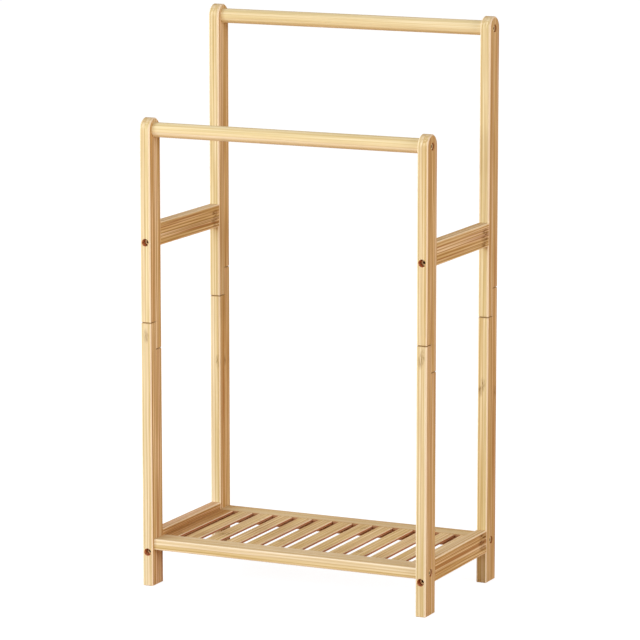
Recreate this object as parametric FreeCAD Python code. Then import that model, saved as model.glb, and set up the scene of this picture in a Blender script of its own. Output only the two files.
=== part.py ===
"""Bamboo towel rack: two towel bars on stepped legs, with side rails and a slatted shelf.

Millimetres. +Z is up, +X is the rack's right and -Y its front, where the lower bar is. The origin
lies on the floor under the middle of the rack. Each leg is two pieces that meet in a half lap.
A corner of the rack is drawn in the quarter where x and y are positive and mirrored to its place.
"""
import FreeCAD, Part
import math
import os

from FreeCAD import Placement, Rotation, Vector

# Overall sizes
rack_width = 420.0
rack_depth = 240.0
back_height = 775.0
shelf_ground_gap = 50.0  # floor to the shelf's underside
hanging_height = 550.0  # shelf's top to the front bar's underside

# Legs: rectangular section, head a full round about the bar's axis
leg_width = 15.0
leg_depth = 32.0
leg_edge_ease = 1.5  # slope along the long edges and round the head
end_ease = 0.8  # slope on the edges of cut ends and lap seams

# Half laps in the legs
lap_length = 38.0
lap_gap = 0.8  # open joint between a tongue's end and its shoulder
front_lap_height = 345.0  # floor to the middle of the lap
back_lap_height = 387.5

# Towel bars
bar_diameter = 20.0

# Side rails, as thick as the legs are wide
rail_height = 32.0
rail_round = 2.0
upper_rail_rise = 466.0  # floor to the upper rails' underside
lower_rail_drop = 8.0  # shelf's underside to the lower rails' underside

# Shelf rails, with a rebate along the inner top edge that the slats lie in
shelf_rail_width = 40.0
shelf_rail_height = 15.0
shelf_setback = 4.0  # legs' outer faces to the shelf rails' outer faces
rebate_width = 8.0

# Slats
slat_count = 13
slat_width = 21.0
slat_thickness = 4.0
slat_round = 1.5
slat_end_clearance = 0.3  # slat's end to the rebate's shoulder
slat_side_clearance = 0.5  # outermost slats to the lower side rails

# Screws with a cylindrical socket head, sunk below the surface
screw_diameter = 5.0
head_diameter = 9.0
head_height = 5.0
socket_width = 4.0  # across the flats
socket_depth = 2.6
socket_sides = 6
rail_recess = 13.5  # depth of the sunk hole for a rail screw, in a leg's outer face
lap_recess = 8.0  # depth of the sunk hole for a lap screw
side_recess = 7.0  # depth of the sunk hole in a leg's outer side
rail_screw_grip = 36.0  # length held in a side rail
end_screw_grip = 32.0  # length held in a bar or a shelf rail
lap_screw_grip = 11.0  # length held in the tongue behind
upper_screw_rise = 7.5  # upper rails' underside to the screw's axis
lower_screw_rise = 5.0

# Dowels beside the rail screws
dowel_diameter = 6.0
dowel_length = 24.0
dowel_rise = 23.0  # rails' underside to the dowel's axis

# Small round pieces and the holes for them are prisms with this many sides
head_sides = 24
bore_sides = 12

# Clearances
screw_clearance = 0.3
head_clearance = 0.75
dowel_clearance = 0.2
bore_end_gap = 2.0  # past the end of a screw or a dowel
overrun = 1.0  # how far cutting tools reach past the surface
edge_limit_share = 0.45  # largest rounding or slope of an edge, of the wall that it is on

# Places that follow from the sizes above
outer_x = rack_width / 2
inner_x = outer_x - leg_width
leg_x = (outer_x + inner_x) / 2
outer_y = rack_depth / 2
inner_y = outer_y - leg_depth
leg_y = (outer_y + inner_y) / 2
head_radius = leg_depth / 2
shelf_top = shelf_ground_gap + shelf_rail_height
shelf_screw_z = shelf_ground_gap + shelf_rail_height / 2
front_bar_z = shelf_top + hanging_height + bar_diameter / 2
front_height = front_bar_z + head_radius
back_bar_z = back_height - head_radius
lower_rail_rise = shelf_ground_gap - lower_rail_drop
shelf_outer_y = outer_y - shelf_setback
shelf_inner_y = shelf_outer_y - shelf_rail_width
shoulder_y = shelf_inner_y + rebate_width

right = Vector(1, 0, 0)
back = Vector(0, 1, 0)
up = Vector(0, 0, 1)


def mirrored(shape, normal):
    """The shape's mirror image across the rack's middle plane with this normal."""
    return shape.mirror(Vector(), normal)


def both_ends(shapes, normal):
    """The shapes together with their mirror images."""
    return shapes + [mirrored(shape, normal) for shape in shapes]


def block(low, high):
    """Box between two opposite corners."""
    size = high - low
    return Part.makeBox(size.x, size.y, size.z, low)


def limited(size, wall):
    """Size of an edge's rounding or slope, held to what the wall can take."""
    return min(size, wall * edge_limit_share)


def rounded_bar(profile, travel, edges_wanted, radius):
    """Profile swept straight along travel, with the edges that edges_wanted picks rounded."""
    bar = Part.Face(profile).extrude(travel)
    return bar.makeFillet(radius, [edge for edge in bar.Edges if edges_wanted(edge.BoundBox)])


# Fasteners: each lies along an axis that starts on a face and points into the wood

def prism(sides, radius, start, direction, length):
    """Regular prism along an axis, with its corners on a circle of this radius."""
    turns = [2 * math.pi * step / sides for step in range(sides + 1)]
    corners = [Vector(radius * math.cos(turn), radius * math.sin(turn), 0) for turn in turns]
    body = Part.Face(Part.makePolygon(corners)).extrude(up * length)
    body.Placement = Placement(start, Rotation(up, direction))
    return body


def screw(start, direction, recess, length):
    """Socket-head screw whose head sits on the floor of its sunk hole."""
    seat = start + direction * recess
    top = seat - direction * head_height
    head = prism(head_sides, head_diameter / 2, top, direction, head_height)
    shank = prism(bore_sides, screw_diameter / 2, seat, direction, length)
    socket_radius = socket_width / (2 * math.cos(math.pi / socket_sides))
    socket = prism(socket_sides, socket_radius, top, direction, socket_depth)
    return head.fuse(shank).cut(socket)


def screw_bore(start, direction, recess, length):
    """Sunk hole for the head, with the straight bore for the shank beyond it."""
    head = head_diameter / 2 + head_clearance
    shank = screw_diameter / 2 + screw_clearance
    mouth = start - direction * overrun
    sunk = prism(head_sides, head, mouth, direction, overrun + recess)
    return sunk.fuse(prism(bore_sides, shank, start, direction, recess + length + bore_end_gap))


def dowel(centre):
    """Dowel along Y, half in the leg and half in the rail."""
    start = centre + back * (dowel_length / 2)
    return prism(bore_sides, dowel_diameter / 2, start, -back, dowel_length)


def dowel_bore(centre):
    """Hole for a dowel: it stops at the dowel's end in the leg and runs on a little in the rail."""
    start = centre + back * (dowel_length / 2)
    radius = dowel_diameter / 2 + dowel_clearance
    return prism(bore_sides, radius, start, -back, dowel_length + bore_end_gap)


rail_screw_length = leg_depth - rail_recess + rail_screw_grip
end_screw_length = leg_width - side_recess + end_screw_grip
lap_screw_length = leg_depth / 2 - lap_recess + lap_screw_grip


def rail_screw_axis(z):
    """Through a leg's outer face into the end of a side rail."""
    return Vector(leg_x, outer_y, z), -back, rail_recess, rail_screw_length


def end_screw_axis(z):
    """Through a leg's outer side into the end of a bar or a shelf rail."""
    return Vector(outer_x, leg_y, z), -right, side_recess, end_screw_length


def lap_screw_axis(z, from_outside):
    """Across the middle of a half lap, from the leg's outer or inner face."""
    if from_outside:
        return Vector(leg_x, outer_y, z), -back, lap_recess, lap_screw_length
    return Vector(leg_x, inner_y, z), back, lap_recess, lap_screw_length


def dowel_centre(rail_rise):
    """On the joint between a leg and a side rail."""
    return Vector(leg_x, inner_y, rail_rise + dowel_rise)


upper_screw_axis = rail_screw_axis(upper_rail_rise + upper_screw_rise)
lower_screw_axis = rail_screw_axis(lower_rail_rise + lower_screw_rise)
shelf_screw_axis = end_screw_axis(shelf_screw_z)
upper_dowel_centre = dowel_centre(upper_rail_rise)
lower_dowel_centre = dowel_centre(lower_rail_rise)


# Legs

def leg_blank(height):
    """Whole leg before it is split: the slope of its long edges runs on round the head."""
    spring = height - head_radius
    foot_in = Vector(inner_x, inner_y, 0)
    foot_out = Vector(inner_x, outer_y, 0)
    head_out = Vector(inner_x, outer_y, spring)
    head_in = Vector(inner_x, inner_y, spring)
    crown = Vector(inner_x, leg_y, height)
    outline = Part.Wire([
        Part.LineSegment(foot_in, foot_out).toShape(),
        Part.LineSegment(foot_out, head_out).toShape(),
        Part.Arc(head_out, crown, head_in).toShape(),
        Part.LineSegment(head_in, foot_in).toShape(),
    ])
    blank = Part.Face(outline).extrude(right * leg_width)
    long_edges = [edge for edge in blank.Edges if edge.BoundBox.ZLength > leg_edge_ease]
    return blank.makeChamfer(limited(leg_edge_ease, leg_width), long_edges)


def eased_half(y_low, y_high, z_low, z_high):
    """Half of a leg's depth between two heights, with the edges of its ends sloped.

    It reaches past the leg's own faces, but not past the plane of the lap.
    """
    low = Vector(inner_x - overrun, y_low, z_low)
    high = Vector(outer_x + overrun, y_high, z_high)
    half = block(low, high)
    edges = [edge for edge in half.Edges if is_end_edge(edge.BoundBox)]
    return half.makeChamfer(end_ease + overrun, edges)


def is_end_edge(box):
    """True for a level edge that isn't in the plane of the lap."""
    level = box.ZLength < overrun
    in_lap_plane = box.YLength < overrun and abs(box.Center.y - leg_y) < overrun
    return level and not in_lap_plane


def seam_groove(x, low, high):
    """V-groove along the upright stretch of a lap's seam on one side of the leg."""
    points = [
        Vector(x - end_ease, leg_y, low),
        Vector(x, leg_y - end_ease, low),
        Vector(x + end_ease, leg_y, low),
        Vector(x, leg_y + end_ease, low),
    ]
    return Part.Face(Part.makePolygon(points + points[:1])).extrude(up * (high - low))


def leg_halves(height, lap_height, tools):
    """Lower and upper piece of a leg: the lower one keeps the outer half of the lap."""
    blank = leg_blank(height)
    low = lap_height - lap_length / 2
    high = lap_height + lap_length / 2
    top = height + end_ease + overrun
    outside = outer_y + overrun
    inside = inner_y - overrun
    gap = lap_gap / 2
    lower = eased_half(leg_y, outside, 0, high - gap).fuse(eased_half(inside, leg_y, 0, low - gap))
    upper = eased_half(leg_y, outside, high + gap, top).fuse(eased_half(inside, leg_y, low + gap, top))
    tools = tools + [seam_groove(x, low, high) for x in (inner_x, outer_x)]
    return [blank.common(half).cut(tools).removeSplitter() for half in (lower, upper)]


# Bars, rails and shelf

def towel_bar(y, z):
    """Round bar between a pair of legs, bored at both ends for its screws."""
    bar = Part.makeCylinder(bar_diameter / 2, 2 * inner_x, Vector(-inner_x, y, z), right)
    bore = screw_bore(*end_screw_axis(z))
    bore.translate(back * (y - leg_y))
    return bar.cut(both_ends([bore], right))


def side_rail(rise, screw_axis, dowel_place):
    """Rail on the right between a front and a back leg, flush with their sides."""
    corners = [
        Vector(inner_x, -inner_y, rise),
        Vector(outer_x, -inner_y, rise),
        Vector(outer_x, -inner_y, rise + rail_height),
        Vector(inner_x, -inner_y, rise + rail_height),
    ]
    rail = rounded_bar(
        Part.makePolygon(corners + corners[:1]),
        back * (2 * inner_y),
        lambda box: box.YLength > inner_y,
        limited(rail_round, leg_width),
    )
    return rail.cut(both_ends([screw_bore(*screw_axis), dowel_bore(dowel_place)], back))


def shelf_rail():
    """Back shelf rail: the rebate leaves three long edges to be rounded."""
    rebate_z = shelf_top - slat_thickness
    corners = [
        Vector(-inner_x, shelf_outer_y, shelf_ground_gap),
        Vector(-inner_x, shelf_outer_y, shelf_top),
        Vector(-inner_x, shoulder_y, shelf_top),
        Vector(-inner_x, shoulder_y, rebate_z),
        Vector(-inner_x, shelf_inner_y, rebate_z),
        Vector(-inner_x, shelf_inner_y, shelf_ground_gap),
    ]

    def is_outer_edge(box):
        on_outer_face = abs(box.Center.y - shelf_outer_y) < overrun
        on_underside = abs(box.Center.z - shelf_ground_gap) < overrun
        return box.XLength > inner_x and (on_outer_face or on_underside)

    rail = rounded_bar(
        Part.makePolygon(corners + corners[:1]),
        right * (2 * inner_x),
        is_outer_edge,
        limited(rail_round, shelf_rail_height - slat_thickness),
    )
    return rail.cut(both_ends([screw_bore(*shelf_screw_axis)], right))


def slat(x):
    """Thin slat across the shelf, lying in the rebates of both shelf rails."""
    reach = shoulder_y - slat_end_clearance
    half = slat_width / 2
    bottom = shelf_top - slat_thickness
    corners = [
        Vector(x - half, -reach, bottom),
        Vector(x + half, -reach, bottom),
        Vector(x + half, -reach, shelf_top),
        Vector(x - half, -reach, shelf_top),
    ]
    return rounded_bar(
        Part.makePolygon(corners + corners[:1]),
        back * (2 * reach),
        lambda box: box.YLength > reach,
        limited(slat_round, slat_thickness),
    )


def slats():
    """Evenly spaced slats that fill the width between the lower side rails."""
    last = inner_x - slat_side_clearance - slat_width / 2
    pitch = 2 * last / (slat_count - 1)
    return {f"slat_{number + 1:02d}": slat(number * pitch - last) for number in range(slat_count)}


# Assembly

def corner(name, height, bar_z, lap_height, lap_from_outside):
    """Both pieces of the left and right leg at the front or back, and the fasteners of one corner."""
    screws = {
        "rail_screws": [upper_screw_axis, lower_screw_axis],
        "bar_screws": [end_screw_axis(bar_z)],
        "shelf_screws": [shelf_screw_axis],
        "lap_screws": [lap_screw_axis(lap_height, lap_from_outside)],
    }
    centres = [upper_dowel_centre, lower_dowel_centre]
    tools = [screw_bore(*axis) for axes in screws.values() for axis in axes]
    tools += [dowel_bore(centre) for centre in centres]
    lower, upper = leg_halves(height, lap_height, tools)
    legs = {f"{name}_right_lower_leg": lower, f"{name}_right_upper_leg": upper}
    fasteners = {group: [screw(*axis) for axis in axes] for group, axes in screws.items()}
    fasteners["rail_dowels"] = [dowel(centre) for centre in centres]
    return legs, fasteners


def build():
    """Every node of the rack by name."""
    nodes = {}
    groups = {}
    corners = {
        "back": corner("back", back_height, back_bar_z, back_lap_height, True),
        "front": corner("front", front_height, front_bar_z, front_lap_height, False),
    }
    for end, (legs, fasteners) in corners.items():
        for name, leg in legs.items():
            placed = leg if end == "back" else mirrored(leg, back)
            nodes[name] = placed
            nodes[name.replace("right", "left")] = mirrored(placed, right)
        for group, solids in fasteners.items():
            placed = solids if end == "back" else [mirrored(solid, back) for solid in solids]
            groups.setdefault(group, []).extend(both_ends(placed, right))

    nodes["front_bar"] = towel_bar(-leg_y, front_bar_z)
    nodes["back_bar"] = towel_bar(leg_y, back_bar_z)
    upper_rail = side_rail(upper_rail_rise, upper_screw_axis, upper_dowel_centre)
    lower_rail = side_rail(lower_rail_rise, lower_screw_axis, lower_dowel_centre)
    nodes["right_upper_rail"] = upper_rail
    nodes["left_upper_rail"] = mirrored(upper_rail, right)
    nodes["right_lower_rail"] = lower_rail
    nodes["left_lower_rail"] = mirrored(lower_rail, right)
    nodes["back_shelf_rail"] = shelf_rail()
    nodes["front_shelf_rail"] = mirrored(nodes["back_shelf_rail"], back)
    nodes.update(slats())
    nodes.update({group: Part.makeCompound(solids) for group, solids in groups.items()})
    return nodes


os.makedirs("parts", exist_ok=True)
for node, shape in build().items():
    shape.exportStep(f"parts/{node}.step")
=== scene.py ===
import math
import random

import bmesh
import bpy
from mathutils import Euler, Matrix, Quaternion, Vector


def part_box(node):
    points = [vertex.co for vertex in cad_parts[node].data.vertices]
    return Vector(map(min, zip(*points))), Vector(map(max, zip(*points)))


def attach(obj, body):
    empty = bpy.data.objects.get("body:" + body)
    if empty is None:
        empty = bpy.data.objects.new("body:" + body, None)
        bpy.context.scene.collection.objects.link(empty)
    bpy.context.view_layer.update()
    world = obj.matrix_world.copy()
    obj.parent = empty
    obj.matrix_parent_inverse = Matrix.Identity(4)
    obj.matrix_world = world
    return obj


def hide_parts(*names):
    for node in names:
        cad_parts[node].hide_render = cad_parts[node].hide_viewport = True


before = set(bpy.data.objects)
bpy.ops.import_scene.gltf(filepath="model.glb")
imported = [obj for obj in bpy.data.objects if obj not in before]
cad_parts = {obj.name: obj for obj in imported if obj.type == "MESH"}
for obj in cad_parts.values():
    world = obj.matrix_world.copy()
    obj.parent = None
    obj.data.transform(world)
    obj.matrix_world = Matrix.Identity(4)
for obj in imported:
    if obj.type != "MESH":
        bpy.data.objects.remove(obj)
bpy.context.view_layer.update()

# The frame is in metres, so a size that is given in millimetres is times mm
mm = 0.001

# Camera: from the front right and a little above, far enough away that the legs look upright
camera_azimuth = 25.0
camera_elevation = 10.2
camera_distance = 5.3
camera_lens = 220.4
camera_sensor = 36.0
camera_target = Vector((0.5, 0.0, 364.0)) * mm

# Soft boxes: azimuth and elevation in degrees, distance and width in metres, power in watts, colour
soft_boxes = {
    "key": (-50, 19, 9.0, 2.6, 380, "#E8F8FF"),
    "fill": (76, 11, 12.0, 4.0, 545, "#FFFAF8"),
    "front": (-14, 14, 2.5, 0.65, 21.6, "#F2FAFF"),
    "back": (235, 8, 3.5, 1.6, 40, "#FFF6EC"),
}

# Floor and surroundings: the tones that light the rack, and how bright the floor's own white is
floor_width = 40.0
paper_tone = "#D4AF8E"
shadow_tone = "#828A98"
paper_glow = 0.92
ambient_tone = "#FFE4CC"
ambient_strength = 0.44

# Sizes in the bamboo: what the planer takes off a glued board, the pattern in its strips, the cuts, and how
# far the painted shade spreads past a hole's wall
planed_off = 1.6 * mm
fibre_size = Vector((1.6, 1.6, 120)) * mm
streak_size = Vector((2.2, 2.2, 300)) * mm
vein_size = Vector((1.6, 1.6, 260)) * mm
drift_size = Vector((50, 50, 2000)) * mm
glue_line = 0.5 * mm
glue_fade = 1.0 * mm
mark_size = Vector((3.6, 3.6, 9)) * mm
mark_grain = Vector((1.0, 1.0, 7.0)) * mm
fibre_relief = 0.15 * mm
lap_edge = 2.5 * mm
rebate_end = 84.2 * mm
bore_radius = 5.25 * mm
bore_shade_fade = 0.5 * mm

# Tones of the bamboo: its strips from the darkest to the palest, then what lies over them, painted shade and
# a painted highlight among them
straw_tones = ((0.0, "#E1CA97"), (0.3, "#EBDBAF"), (0.5, "#ECDEB1"), (0.75, "#EFE0BC"), (1.0, "#F4EBCA"))
vein_tone = "#A2633A"
fleck_tone = "#94743F"
# Broad sides a little deeper: partly the strips' flat side, partly painted shade
broad_shade_tone = "#FDF4E8"
# Painted shade on the slot walls between slats and on rail tops, partly a saw cut's own red-brown
sawn_shade_tone = "#B86C40"
# Painted shade inside the shelf rails' rebate, under the slats
rebate_shade_tone = "#A0603C"
# Painted highlight on the eased edges
edge_highlight_tone = "#FFF4DC"
end_tone = "#B98A52"
# Painted shade in the gap of a lap's saw cuts
seam_shade_tone = "#B08444"

# Painted shade on a sunk hole's wall, partly the cut grain's darker tone: the deep ones for the rail screws
# catch light that the shallow ones don't
bore_shade_tones = {
    "rail_screws": "#D8946C",
    "bar_screws": "#A8683F",
    "shelf_screws": "#A8683F",
    "lap_screws": "#8A4526",
}

# Strengths in the bamboo: a shade multiplies the strips' colour, and a strength lays a tone over it; the
# rebate, seam and bore strengths lay painted shade and the edge strength a painted highlight
glue_shade = 0.84
glue_strength = 0.65
vein_strength = 0.14
broad_vein_strength = 0.75
fleck_ground = 0.2
end_grain_shade = 0.15
rebate_shade_strength = 0.8
edge_highlight_strength = 3.4
end_strength = 0.35
seam_shade_strength = 0.8
bore_shade_strength = 0.8
relief_strength = 0.25
lacquer_specular = 0.04

# Spans for Map Range nodes: inputs 1 and 2 are what it takes, and 3 and 4 are what it gives
noise_middle = {1: 0.3, 2: 0.7}
fibre_shades = {3: 0.82, 4: 1.12}
streak_shades = {3: 0.86, 4: 1.10}
vein_noise = {1: 0.52, 2: 0.66}
fleck_noise = {1: 0.42, 2: 0.58}
mark_reach = {1: 0.2, 2: 1.3}
stripe_shades = {1: 0.5, 2: 1.1}
stripe_gammas = {3: 2.0, 4: 0.72}
lacquer_roughness = {3: 0.70, 4: 0.52}

# Sizes of the screws: socket heads at the bottom of sunk holes, with a coarse thread on the shank
head_radius = 4.5 * mm
head_height = 5.0 * mm
head_ease = 0.5 * mm
head_sides = 30
socket_across = 4.0 * mm
socket_depth = 2.6 * mm
socket_point = 0.6 * mm
socket_sides = 6
shank_radius = 2.5 * mm
core_radius = 1.9 * mm
neck_length = 6.0 * mm
neck_taper = 1.0 * mm
tip_length = 4.0 * mm
tip_radius = 0.3 * mm
thread_pitch = 2.2 * mm
thread_root = 0.1 * mm
thread_steps = 16
rail_shank = 54.5 * mm
end_shank = 40.0 * mm
lap_shank = 19.0 * mm
plating_size = 0.6 * mm
smooth_angle = math.radians(35)
spin_seed = 7


def linear(colour):
    """An sRGB hex colour as linear RGBA."""
    channels = [int(colour[i:i + 2], 16) / 255 for i in (1, 3, 5)]
    return (*[c / 12.92 if c <= 0.04045 else ((c + 0.055) / 1.055) ** 2.4 for c in channels], 1.0)


def inverse(size):
    """How often a pattern of that size repeats per metre along each axis."""
    return tuple(1 / s for s in size)


def add(tree, kind, inputs=None, stops=None, **settings):
    """A node with its settings; inputs are values or other nodes' outputs, and stops fill a colour ramp."""
    node = tree.nodes.new(kind)
    for name, value in settings.items():
        setattr(node, name, value)
    for socket, value in (inputs or {}).items():
        if isinstance(value, bpy.types.NodeSocket):
            tree.links.new(value, node.inputs[socket])
        else:
            node.inputs[socket].default_value = value
    if stops:
        elements = node.color_ramp.elements
        while len(elements) < len(stops):
            elements.new(1.0)
        for element, (place, colour) in zip(elements, stops):
            element.position = place
            element.color = linear(colour)
    return node


def new_material(name):
    """An empty material and its node tree."""
    material = bpy.data.materials.new(name)
    material.use_nodes = True
    material.node_tree.nodes.clear()
    return material, material.node_tree


# Bamboo: strips split from the cane, planed, glued side by side and clear lacquered. The eye sees straw and
# honey strips a few millimetres wide, long fine fibres, red-brown veins on the broad sides, thin glue lines,
# and brown flecks where a strip crosses a joint of the cane. Edges are painted paler as a highlight, with a
# little of the sanded wood's own paleness, and ends are darker. Painted shade darkens sawn sides, partly
# their own red-brown, broad sides a little, the inside of a rebate, a lap's saw cuts, the walls of bored
# holes and two whole pieces. The fibres, about 0.3 mm wide on the real stock, the flecks and the glue lines
# are drawn coarser so that they show.
grain_turn = {"X": (0, -math.pi / 2, 0), "Y": (math.pi / 2, 0, 0), "Z": (0, 0, 0)}


def laminated_bamboo(piece, seed, tint, marks, bores, lap, grain, strips, contrast=1.0, eased=None,
                     broad=None, sawn_shade=None, rebate=None, flecks=0.7):
    """Bamboo for one piece.

    seed gives it strips of its own, and a tint darkens the whole piece as painted shadow. marks are the
    places of the cane's joints, bores those of sunk holes with their axis and the tone of painted shade on
    their walls, and lap holds the two heights where a leg's half lap starts and ends. The rest is the stock:
    the grain's axis, the strips across it, how much these differ, the axes that its eased edges with their
    painted highlight and its broad sides face, the broad sides a little deeper partly as painted shade, the
    axis of its sides painted in red-brown shade, partly their own saw-cut tone, with its strength, how far
    from the rack's middle its rebate ends, the inside being painted in shade, and how dark its flecks are.
    """
    material, tree = new_material(f"laminated bamboo {piece}")
    low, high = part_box(piece)
    turn = Euler(grain_turn[grain])
    centre = turn.to_matrix() @ ((low + high) / 2)
    size = turn.to_matrix() @ (high - low)
    strip = Vector(((abs(size.x) + planed_off) / strips[0], (abs(size.y) + planed_off) / strips[1], 0))
    coords = add(tree, "ShaderNodeTexCoord")
    normal = add(tree, "ShaderNodeSeparateXYZ", {0: coords.outputs["Normal"]})

    # The place in the stock, with the grain along Z, and the tone of the strip that holds it
    spot = add(tree, "ShaderNodeMapping",
               {"Vector": coords.outputs["Object"], "Rotation": turn, "Location": -centre}).outputs[0]
    cells = add(tree, "ShaderNodeVectorMath",
                {0: spot, 1: (1 / strip.x, 1 / strip.y, 0), 2: (strips[0] / 2, strips[1] / 2, seed + 0.5)},
                operation="MULTIPLY_ADD").outputs[0]
    number = add(tree, "ShaderNodeVectorMath", {0: cells}, operation="FLOOR").outputs[0]
    luck = add(tree, "ShaderNodeTexWhiteNoise", {"Vector": number}, noise_dimensions="3D")
    spread = {3: 0.5 - contrast / 2, 4: 0.5 + contrast / 2}
    strip_tone = add(tree, "ShaderNodeMapRange", {"Value": luck.outputs["Value"], **spread}).outputs[0]
    colour = add(tree, "ShaderNodeValToRGB", {"Fac": strip_tone}, stops=straw_tones).outputs[0]

    # How squarely the surface faces along the grain, and out of the broad sides
    end = add(tree, "ShaderNodeMath", {0: normal.outputs[grain], 1: 2.0}, operation="POWER").outputs[0]
    facing = 0.0
    if broad:
        facing = add(tree, "ShaderNodeMath", {0: normal.outputs[broad], 1: 2.0}, operation="POWER").outputs[0]

    # Fibres, streaks and veins, which start anew in each strip
    drift = add(tree, "ShaderNodeVectorMath", {0: luck.outputs["Color"], 1: drift_size, 2: spot},
                operation="MULTIPLY_ADD").outputs[0]
    patterns = []
    for pattern_size, detail in ((fibre_size, 2.0), (streak_size, 1.0), (vein_size, 1.0)):
        at = add(tree, "ShaderNodeVectorMath", {0: drift, 1: inverse(pattern_size)},
                 operation="MULTIPLY").outputs[0]
        pattern = add(tree, "ShaderNodeTexNoise", {"Vector": at, "Scale": 1.0, "Detail": detail})
        patterns.append(pattern.outputs[0])
    fibre, streak, vein = patterns
    fibre_shade = add(tree, "ShaderNodeMapRange", {"Value": fibre, **noise_middle, **fibre_shades}).outputs[0]
    streak_shade = add(tree, "ShaderNodeMapRange",
                       {"Value": streak, **noise_middle, **streak_shades}).outputs[0]
    shade = add(tree, "ShaderNodeMath", {0: fibre_shade, 1: streak_shade}, operation="MULTIPLY").outputs[0]

    # Glue lines, from the distance to the nearest side of the strip
    within = add(tree, "ShaderNodeVectorMath", {0: cells}, operation="FRACTION").outputs[0]
    off_middle = add(tree, "ShaderNodeVectorMath", {0: within, 1: (0.5, 0.5, 0.5)},
                     operation="SUBTRACT").outputs[0]
    away = add(tree, "ShaderNodeVectorMath", {0: off_middle}, operation="ABSOLUTE").outputs[0]
    inward = add(tree, "ShaderNodeVectorMath", {0: away, 1: -strip, 2: strip / 2},
                 operation="MULTIPLY_ADD").outputs[0]
    inward = add(tree, "ShaderNodeSeparateXYZ", {0: inward})
    near = add(tree, "ShaderNodeMath", {0: inward.outputs[0], 1: inward.outputs[1]},
               operation="MINIMUM").outputs[0]
    line_shade = add(tree, "ShaderNodeMapRange",
                     {"Value": near, 1: glue_line / 2, 2: glue_fade, 3: glue_shade, 4: 1.0},
                     interpolation_type="SMOOTHSTEP").outputs[0]
    shade = add(tree, "ShaderNodeMath", {0: shade, 1: line_shade}, operation="MULTIPLY").outputs[0]

    # The shade is deeper on broad sides and faint on ends, and a darker stripe is also a richer one
    deeper = add(tree, "ShaderNodeMath", {0: facing, 1: contrast, 2: contrast},
                 operation="MULTIPLY_ADD").outputs[0]
    deeper = add(tree, "ShaderNodeMapRange",
                 {"Value": end, 3: deeper, 4: end_grain_shade * contrast}).outputs[0]
    shade = add(tree, "ShaderNodeMath", {0: shade, 1: deeper}, operation="POWER").outputs[0]
    rich = add(tree, "ShaderNodeMapRange", {"Value": shade, **stripe_shades, **stripe_gammas}).outputs[0]
    colour = add(tree, "ShaderNodeGamma", {"Color": colour, "Gamma": rich}).outputs[0]
    light = add(tree, "ShaderNodeMath", {0: shade, 1: 0.5}, operation="POWER").outputs[0]
    colour = add(tree, "ShaderNodeVectorMath", {0: colour, "Scale": light}, operation="SCALE").outputs[0]

    # Red-brown veins and glue, strongest on the broad sides, first of the layers over the strips
    strengths = {3: vein_strength * contrast, 4: broad_vein_strength * contrast}
    strength = add(tree, "ShaderNodeMapRange", {"Value": facing, **strengths}).outputs[0]
    strength = add(tree, "ShaderNodeMapRange", {"Value": end, 3: strength, 4: 0.0}).outputs[0]
    glue = add(tree, "ShaderNodeMapRange",
               {"Value": line_shade, 1: glue_shade, 2: 1.0, 3: glue_strength, 4: 0.0}).outputs[0]
    vein = add(tree, "ShaderNodeMapRange", {"Value": vein, **vein_noise}).outputs[0]
    vein = add(tree, "ShaderNodeMath", {0: vein, 1: glue}, operation="MAXIMUM").outputs[0]
    vein = add(tree, "ShaderNodeMath", {0: vein, 1: strength}, operation="MULTIPLY").outputs[0]
    layers = [(vein, vein_tone, "MIX")]

    # Brown flecks at the joints of the cane
    if marks:
        flecked = 0.0
        for mark in marks:
            middle = turn.to_matrix() @ (Vector(mark) * mm) - centre
            off = add(tree, "ShaderNodeVectorMath", {0: spot, 1: middle}, operation="SUBTRACT").outputs[0]
            off = add(tree, "ShaderNodeVectorMath", {0: off, 1: inverse(mark_size)},
                      operation="MULTIPLY").outputs[0]
            reach = add(tree, "ShaderNodeVectorMath", {0: off}, operation="LENGTH").outputs["Value"]
            flecked = add(tree, "ShaderNodeMapRange",
                          {"Value": reach, **mark_reach, 3: 1.0, 4: flecked}).outputs[0]
        at = add(tree, "ShaderNodeVectorMath", {0: spot, 1: inverse(mark_grain)},
                 operation="MULTIPLY").outputs[0]
        fleck = add(tree, "ShaderNodeTexNoise", {"Vector": at, "Scale": 1.0, "Detail": 2.0}).outputs[0]
        fleck = add(tree, "ShaderNodeMapRange",
                    {"Value": fleck, **fleck_noise, 3: fleck_ground * flecks, 4: flecks}).outputs[0]
        fleck = add(tree, "ShaderNodeMath", {0: fleck, 1: flecked}, operation="MULTIPLY").outputs[0]
        layers.append((fleck, fleck_tone, "MULTIPLY"))

    # Painted shadow over a whole piece; broad sides a little deeper, partly as painted shade; sawn sides
    # red-brown, partly painted shade, and the inside of a rebate painted in red-brown shade
    if tint:
        layers.append((1.0, tint, "MULTIPLY"))
    if broad:
        layers.append((facing, broad_shade_tone, "MULTIPLY"))
    if sawn_shade:
        sawn_shade_axis, sawn_shade_strength = sawn_shade
        side = add(tree, "ShaderNodeMath", {0: normal.outputs[sawn_shade_axis], 1: 4.0},
                   operation="POWER").outputs[0]
        side = add(tree, "ShaderNodeMath", {0: side, 1: sawn_shade_strength}, operation="MULTIPLY").outputs[0]
        layers.append((side, sawn_shade_tone, "MIX"))
    if rebate:
        rack = add(tree, "ShaderNodeSeparateXYZ", {0: coords.outputs["Object"]})
        inside = add(tree, "ShaderNodeMath", {0: rack.outputs["Y"]}, operation="ABSOLUTE").outputs[0]
        inside = add(tree, "ShaderNodeMath", {0: inside, 1: rebate}, operation="LESS_THAN").outputs[0]
        inside = add(tree, "ShaderNodeMath", {0: inside, 1: rebate_shade_strength}, operation="MULTIPLY").outputs[0]
        layers.append((inside, rebate_shade_tone, "MIX"))

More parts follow.
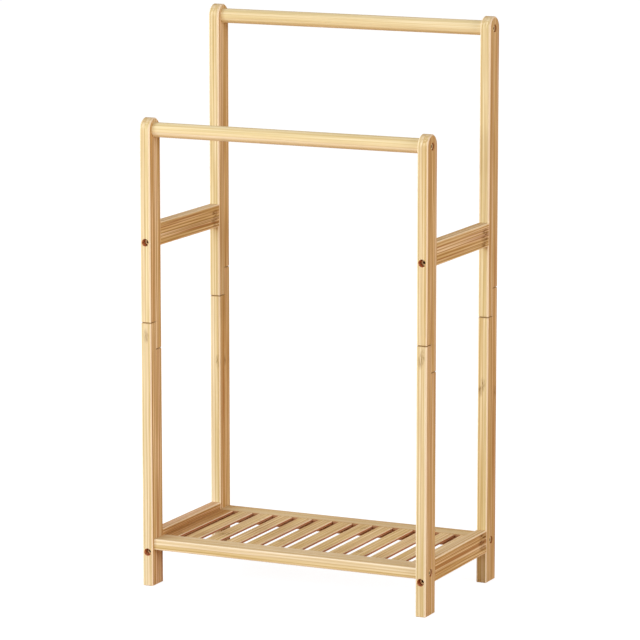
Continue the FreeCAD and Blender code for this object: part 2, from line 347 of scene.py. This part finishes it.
    # Painted highlight on the eased edges, with a little of the sanded wood's own paleness
    if eased:
        square = add(tree, "ShaderNodeMath", {0: normal.outputs[eased], 1: 2.0}, operation="POWER").outputs[0]
        other = add(tree, "ShaderNodeMath", {0: 1.0, 1: square}, operation="SUBTRACT").outputs[0]
        edge_highlight = add(tree, "ShaderNodeMath", {0: square, 1: other}, operation="MULTIPLY").outputs[0]
        edge_highlight = add(tree, "ShaderNodeMath", {0: edge_highlight, 1: edge_highlight_strength}, operation="MULTIPLY").outputs[0]

    # A half lap: the edges along its seam stay sharp, without the painted highlight, and the saw cuts inside
    # it are painted dark as shade in its gap
    if lap:
        lap_middle = (lap[0] + lap[1]) / 2 - centre.z
        lap_reach = abs(lap[1] - lap[0]) / 2 + lap_edge
        in_leg = add(tree, "ShaderNodeSeparateXYZ", {0: spot})
        seam = add(tree, "ShaderNodeMath", {0: in_leg.outputs[2], 1: lap_middle, 2: lap_reach},
                   operation="COMPARE").outputs[0]
        inner = add(tree, "ShaderNodeMath", {0: in_leg.outputs[1]}, operation="ABSOLUTE").outputs[0]
        inner = add(tree, "ShaderNodeMath", {0: inner, 1: abs(size.y) / 2 - lap_edge},
                    operation="LESS_THAN").outputs[0]
        sharp = add(tree, "ShaderNodeMath", {0: seam, 1: inner}, operation="MULTIPLY").outputs[0]
        edge_highlight = add(tree, "ShaderNodeMapRange", {"Value": sharp, 3: edge_highlight, 4: 0.0}).outputs[0]
        seam_shade = add(tree, "ShaderNodeMath", {0: seam, 1: end}, operation="MULTIPLY").outputs[0]
        seam_shade = add(tree, "ShaderNodeMath", {0: seam_shade, 1: seam_shade_strength}, operation="MULTIPLY").outputs[0]

    # Painted highlight on edges, end grain, painted shade in a lap's saw cuts and on the walls of sunk holes,
    # in the order that they lie
    if eased:
        layers.append((edge_highlight, edge_highlight_tone, "MIX"))
    cut = add(tree, "ShaderNodeMath", {0: end, 1: end_strength}, operation="MULTIPLY").outputs[0]
    layers.append((cut, end_tone, "MIX"))
    if lap:
        layers.append((seam_shade, seam_shade_tone, "MIX"))
    for place, way, wall_shade_tone in bores:
        off = add(tree, "ShaderNodeVectorMath", {0: coords.outputs["Object"], 1: place},
                  operation="SUBTRACT").outputs[0]
        off = add(tree, "ShaderNodeVectorMath", {0: off, 1: [1 - abs(w) for w in way]},
                  operation="MULTIPLY").outputs[0]
        reach = add(tree, "ShaderNodeVectorMath", {0: off}, operation="LENGTH").outputs["Value"]
        wall_shade = add(tree, "ShaderNodeMapRange",
                   {"Value": reach, 1: bore_radius, 2: bore_radius + bore_shade_fade, 3: bore_shade_strength, 4: 0.0})
        along = add(tree, "ShaderNodeVectorMath", {0: coords.outputs["Normal"], 1: way},
                    operation="DOT_PRODUCT").outputs["Value"]
        along = add(tree, "ShaderNodeMath", {0: along}, operation="ABSOLUTE").outputs[0]
        wall_shade = add(tree, "ShaderNodeMapRange", {"Value": along, 3: wall_shade.outputs[0], 4: 0.0}).outputs[0]
        layers.append((wall_shade, wall_shade_tone, "MIX"))
    for strength, tone, blend in layers:
        colour = add(tree, "ShaderNodeMix", {"Factor": strength, 6: colour, 7: linear(tone)},
                     data_type="RGBA", blend_type=blend).outputs[2]

    rough = add(tree, "ShaderNodeMapRange", {"Value": fibre, **noise_middle, **lacquer_roughness}).outputs[0]
    bump = add(tree, "ShaderNodeBump",
               {"Height": shade, "Strength": relief_strength, "Distance": fibre_relief}).outputs[0]
    surface = add(tree, "ShaderNodeBsdfPrincipled",
                  {"Base Color": colour, "Roughness": rough, "Normal": bump,
                   "Specular IOR Level": lacquer_specular})
    add(tree, "ShaderNodeOutputMaterial", {"Surface": surface.outputs[0]})
    return material


# Each kind of stock: the grain's axis, strips across, and the axes that its edges and sides face; its eased
# edges take a painted highlight, and its broad and sawn sides partly painted shade
stocks = {
    "shelf_rail": dict(grain="X", strips=(4, 8), contrast=0.95, eased="Z", sawn_shade=("Z", 0.13),
                       rebate=rebate_end),
    "leg": dict(grain="Z", strips=(4, 7), eased="X", broad="X"),
    "dowels": dict(grain="Y", strips=(2, 2)),
    "rail": dict(grain="Y", strips=(4, 8), contrast=0.95, eased="X", broad="X", sawn_shade=("Z", 0.22), flecks=1.0),
    "bar": dict(grain="X", strips=(5, 5), contrast=0.55),
    "slat": dict(grain="Y", strips=(4, 1), contrast=0.5, eased="X", broad="Z", sawn_shade=("X", 0.9)),
}

# Painted shadow over whole pieces: the first slat, which lies in the left lower rail's shade, and that rail
shadow_tints = {
    "slat_01": "#E3C9B5",
    "left_lower_rail": "#F5E7E4",
}

# Numbers of the boards that pieces are cut from: with its own number added, each piece has its own strips
first_board = 200
boards = {
    "front_left_lower_leg": 1300,
    "front_left_upper_leg": 1100,
    "front_right_upper_leg": 600,
    "back_left_lower_leg": 400,
    "back_left_upper_leg": 800,
    "back_right_upper_leg": 1300,
    "right_lower_rail": 1400,
    "front_shelf_rail": 700,
}

# Where the cane's joints show, in millimetres of the frame
cane_joints = {
    "front_right_lower_leg": [(204, -120, 351), (201, -120, 343), (210, -94, 352)],
    "back_right_lower_leg": [(203, 88, 276), (199, 88, 268), (210, 113, 262)],
    "back_left_lower_leg": [(-198, 88, 276), (-195, 104, 276)],
    "front_left_lower_leg": [(-202, -120, 346), (-195, -94, 345)],
    "right_upper_rail": [(210, 74, 489), (210, 80, 484), (210, 70, 480), (210, 77, 477), (210, 72, 471)],
    "right_lower_rail": [(210, 72, 70), (210, 80, 66), (210, 68, 61), (210, 77, 59), (210, 71, 53),
                         (210, 80, 51)],
    "left_upper_rail": [(-195, 75, 488), (-195, 79, 482), (-195, 72, 477), (-195, 78, 471)],
    "slat_03": [(-118, -45, 65), (-124, -50, 65)],
    "slat_06": [(-34, -50, 65)],
    "slat_08": [(36, 66, 65)],
    "slat_10": [(88, -62, 65)],
    "slat_11": [(126, 70, 65)],
}

# Where the screws are, at the middle of each head's face, and the way that it faces
inset = Vector((head_radius, head_radius, head_radius))
screw_boxes = {name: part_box(name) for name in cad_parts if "screws" in name}
screw_axes = {name: (low + inset, high - inset) for name, (low, high) in screw_boxes.items()}
screw_places = {name: [] for name in screw_boxes}
for side in (0, 1):
    low, high = screw_boxes["rail_screws"]
    x = screw_axes["rail_screws"][side].x
    for axis in screw_axes["rail_screws"]:
        screw_places["rail_screws"] += [((x, low.y, axis.z), (0, -1, 0)), ((x, high.y, axis.z), (0, 1, 0))]
    for name in ("bar_screws", "shelf_screws"):
        x = screw_boxes[name][side].x
        screw_places[name] += [((x, axis.y, axis.z), (2 * side - 1, 0, 0)) for axis in screw_axes[name]]
    low, high = screw_boxes["lap_screws"]
    front, back = screw_axes["lap_screws"]
    x = screw_axes["lap_screws"][side].x
    front_face = low.y + lap_shank + head_height
    screw_places["lap_screws"] += [((x, front_face, front.z), (0, 1, 0)), ((x, high.y, back.z), (0, 1, 0))]


def bores_in(piece):
    """The sunk holes in a piece: the middle of each head's face, the way that it faces, and the tone of
    painted shade round its bore.
    """
    low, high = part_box(piece)
    middle = low + high
    return [(place, way, bore_shade_tones[name]) for name, places in screw_places.items() for place, way in places
            if all(middle[i] * place[i] > 0 and (way[i] or low[i] < place[i] < high[i]) for i in range(3))]


for number, (name, node) in enumerate(sorted(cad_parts.items())):
    if name in screw_places:
        continue
    bores = ()
    lap = None
    if "leg" in name:
        bores = bores_in(name)
        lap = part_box(name.replace("lower", "upper"))[0].z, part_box(name.replace("upper", "lower"))[1].z
    seed = boards.get(name, first_board) + number
    stock = next(stock for kind, stock in stocks.items() if kind in name)
    node.data.materials.clear()
    node.data.materials.append(
        laminated_bamboo(name, seed, shadow_tints.get(name), cane_joints.get(name, ()), bores, lap, **stock))


# Screws: turned steel, plated with satin brass. The eye sees a pale gold ring round a dark socket, whose
# darker, rougher tone is painted shade.
def plated_steel(name, tones, roughness):
    """Plated steel: fine mottled polish between two tones, rougher where it is darker."""
    material, tree = new_material(name)
    coords = add(tree, "ShaderNodeTexCoord").outputs["Object"]
    mottle = add(tree, "ShaderNodeTexNoise",
                 {"Vector": coords, "Scale": 1 / plating_size, "Detail": 3.0}).outputs[0]
    colour = add(tree, "ShaderNodeValToRGB", {"Fac": mottle},
                 stops=((noise_middle[1], tones[0]), (noise_middle[2], tones[1]))).outputs[0]
    rough = add(tree, "ShaderNodeMapRange",
                {"Value": mottle, **noise_middle, 3: roughness[0], 4: roughness[1]}).outputs[0]
    surface = add(tree, "ShaderNodeBsdfPrincipled",
                  {"Base Color": colour, "Metallic": 1.0, "Roughness": rough})
    add(tree, "ShaderNodeOutputMaterial", {"Surface": surface.outputs[0]})
    return material


plating = plated_steel("satin brass plated steel", ("#DFC592", "#EEDAAE"), (0.78, 0.66))
socket_shade_finish = plated_steel("brass plated socket in painted shade", ("#6E5230", "#8A6A40"), (0.9, 0.8))


def pick(test):
    """In edit mode, selects the vertices that pass the test, with the edges and faces between them."""
    mesh = bmesh.from_edit_mesh(bpy.context.object.data)
    mesh.select_mode = {"VERT"}
    for vertex in mesh.verts:
        vertex.select = test(vertex.co)
    mesh.select_flush_mode()
    bmesh.update_edit_mesh(bpy.context.object.data)


def extrude_rings(radius, height, rings):
    """Extrudes the selected ring through more rings, each given by its radius and height."""
    for next_radius, next_height in rings:
        bpy.ops.mesh.extrude_region_move(TRANSFORM_OT_translate={"value": (0, 0, next_height - height)})
        grow = next_radius / radius
        bpy.ops.transform.resize(value=(grow, grow, 1), center_override=(0, 0, next_height))
        radius, height = next_radius, next_height


def screw_thread(top, bottom):
    """A ridge that winds up the core from bottom to top, left selected."""
    ridge = (shank_radius - core_radius + thread_root) * 2 / 3
    bpy.ops.object.select_all(action="DESELECT")
    bpy.ops.mesh.primitive_circle_add(vertices=3, radius=ridge, rotation=(math.pi / 2, math.pi / 2, 0),
                                      location=(core_radius - thread_root + ridge / 2, 0, bottom))
    thread = bpy.context.object
    thread.data.materials.append(plating)
    bpy.ops.object.transform_apply(location=True, rotation=True, scale=True)
    winding = thread.modifiers.new("winding", "SCREW")
    winding.screw_offset = thread_pitch
    winding.iterations = math.floor((top - bottom) / thread_pitch)
    winding.steps = winding.render_steps = thread_steps
    bpy.ops.object.modifier_apply(modifier=winding.name)
    bpy.ops.object.mode_set(mode="EDIT")
    bpy.ops.mesh.select_all(action="SELECT")
    bpy.ops.mesh.fill_holes(sides=0)
    bpy.ops.mesh.select_all(action="SELECT")
    bpy.ops.mesh.normals_make_consistent(inside=False)
    bpy.ops.object.mode_set(mode="OBJECT")


def socket_screw(shank):
    """One screw, with the middle of its head's face at the origin and its tip below."""
    face = head_radius - head_ease
    corner = head_ease * (1 - math.sqrt(0.5))
    socket_radius = socket_across / 2 / math.cos(math.pi / socket_sides)
    rim_middle = (socket_radius + face) / 2
    bpy.ops.object.select_all(action="DESELECT")
    bpy.ops.mesh.primitive_circle_add(vertices=head_sides, radius=face)
    screw = bpy.context.object
    for finish in (plating, socket_shade_finish):
        screw.data.materials.append(finish)
    bpy.ops.object.mode_set(mode="EDIT")
    bpy.ops.mesh.select_all(action="DESELECT")
    bpy.ops.mesh.primitive_circle_add(vertices=socket_sides, radius=socket_radius)
    bpy.ops.mesh.subdivide(number_cuts=head_sides // socket_sides - 1)
    bpy.ops.mesh.select_all(action="SELECT")
    bpy.ops.mesh.bridge_edge_loops()

    # Socket with a drilled point
    pick(lambda place: place.length < rim_middle)
    bpy.ops.mesh.extrude_region_move(TRANSFORM_OT_translate={"value": (0, 0, -socket_depth)})
    bpy.ops.mesh.extrude_region_move(TRANSFORM_OT_translate={"value": (0, 0, -socket_point)})
    bpy.ops.mesh.merge(type="CENTER")

    # Head with eased edges, plain neck, core and tip
    under = -head_height
    neck = under - neck_length
    tip = under - shank
    pick(lambda place: place.z == 0 and place.length > rim_middle)
    extrude_rings(face, 0, [
        (head_radius - corner, -corner), (head_radius, -head_ease), (head_radius, under + head_ease),
        (head_radius - head_ease, under), (shank_radius, under), (shank_radius, neck),
        (core_radius, neck - neck_taper), (core_radius, tip + tip_length), (tip_radius, tip)])
    bpy.ops.mesh.edge_face_add()
    bpy.ops.mesh.select_all(action="SELECT")
    bpy.ops.mesh.normals_make_consistent(inside=False)

    # The socket's darker tone, painted shade in its recess, which is the screw's second material
    pick(lambda place: place.xy.length < rim_middle and place.z > under)
    screw.active_material_index = 1
    bpy.ops.object.material_slot_assign()
    bpy.ops.object.mode_set(mode="OBJECT")

    screw_thread(neck - neck_taper - thread_pitch, tip + tip_length)
    screw.select_set(True)
    bpy.context.view_layer.objects.active = screw
    bpy.ops.object.join()
    bpy.ops.object.shade_smooth_by_angle(angle=smooth_angle)
    return screw


def place_screws(name, node, screw):
    """Copies of a screw at a node's places, as one piece that stands for the node."""
    bpy.ops.object.select_all(action="DESELECT")
    for place, way in screw_places[node]:
        copy = screw.copy()
        copy.data = screw.data.copy()
        bpy.context.scene.collection.objects.link(copy)
        copy.location = place
        spin = Quaternion((0, 0, 1), random.uniform(0, 2 * math.pi))
        copy.rotation_euler = (Vector(way).to_track_quat("Z", "Y") @ spin).to_euler()
        copy.select_set(True)
        bpy.context.view_layer.objects.active = copy
    bpy.ops.object.join()
    bpy.ops.object.transform_apply(location=True, rotation=True, scale=True)
    piece = bpy.context.object
    piece.name = piece.data.name = name
    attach(piece, "root")
    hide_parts(node)


random.seed(spin_seed)
rail_screw, end_screw, lap_screw = [socket_screw(shank) for shank in (rail_shank, end_shank, lap_shank)]
place_screws("rail_socket_screws", "rail_screws", rail_screw)
place_screws("bar_socket_screws", "bar_screws", end_screw)
place_screws("shelf_socket_screws", "shelf_screws", end_screw)
place_screws("lap_socket_screws", "lap_screws", lap_screw)
for pattern in (rail_screw, end_screw, lap_screw):
    bpy.data.objects.remove(pattern)


def seen_in(tree):
    """1 where the camera sees the surface, straight or by way of another, and 0 where it only lights."""
    path = add(tree, "ShaderNodeLightPath").outputs
    seen = path["Is Camera Ray"]
    for ray in ("Is Glossy Ray", "Is Transmission Ray"):
        seen = add(tree, "ShaderNodeMath", {0: seen, 1: path[ray]}, operation="MAXIMUM").outputs[0]
    return seen


# Floor: a matt paper sweep. The eye sees white, with only the object's own faint shadow.
bpy.ops.object.select_all(action="DESELECT")
bpy.ops.mesh.primitive_plane_add(size=floor_width)
floor = bpy.context.object
floor.name = "floor"
material, tree = new_material("white paper sweep")
paper = add(tree, "ShaderNodeBsdfDiffuse", {"Color": linear(paper_tone)}).outputs[0]
glow = add(tree, "ShaderNodeEmission", {"Color": linear("#FFFFFF"), "Strength": paper_glow}).outputs[0]
thin = add(tree, "ShaderNodeBsdfDiffuse", {"Color": linear(shadow_tone)}).outputs[0]
shown = add(tree, "ShaderNodeAddShader", {0: glow, 1: thin}).outputs[0]
both = add(tree, "ShaderNodeMixShader", {0: seen_in(tree), 1: paper, 2: shown}).outputs[0]
add(tree, "ShaderNodeOutputMaterial", {"Surface": both})
floor.data.materials.append(material)

# Surroundings: white to the eye, and a dim warm light on the rack
world = bpy.data.worlds.new("studio")
bpy.context.scene.world = world
world.use_nodes = True
tree = world.node_tree
tree.nodes.clear()
ambient = add(tree, "ShaderNodeBackground",
              {"Color": linear(ambient_tone), "Strength": ambient_strength}).outputs[0]
white = add(tree, "ShaderNodeBackground", {"Color": linear("#FFFFFF"), "Strength": 1.0}).outputs[0]
both = add(tree, "ShaderNodeMixShader", {0: seen_in(tree), 1: ambient, 2: white}).outputs[0]
add(tree, "ShaderNodeOutputWorld", {"Surface": both})


def aim(name, data, azimuth, elevation, distance):
    """A lamp or camera at a distance from the middle of the rack, turned to face it."""
    turn = math.radians(azimuth)
    rise = math.radians(elevation)
    out = Vector((math.sin(turn) * math.cos(rise), -math.cos(turn) * math.cos(rise), math.sin(rise)))
    aimed = bpy.data.objects.new(name, data)
    bpy.context.scene.collection.objects.link(aimed)
    aimed.location = camera_target + out * distance
    aimed.rotation_euler = out.to_track_quat("Z", "Y").to_euler()
    return aimed


for name, (azimuth, elevation, distance, width, power, colour) in soft_boxes.items():
    light = bpy.data.lights.new(name, "AREA")
    light.size = width
    light.energy = power
    light.color = linear(colour)[:3]
    lamp = aim(name, light, azimuth, elevation, distance)
    lamp.visible_camera = False

camera_data = bpy.data.cameras.new("camera")
camera_data.lens = camera_lens
camera_data.sensor_width = camera_sensor
bpy.context.scene.camera = aim("camera", camera_data, camera_azimuth, camera_elevation, camera_distance)
bpy.context.scene.view_settings.view_transform = "Standard"
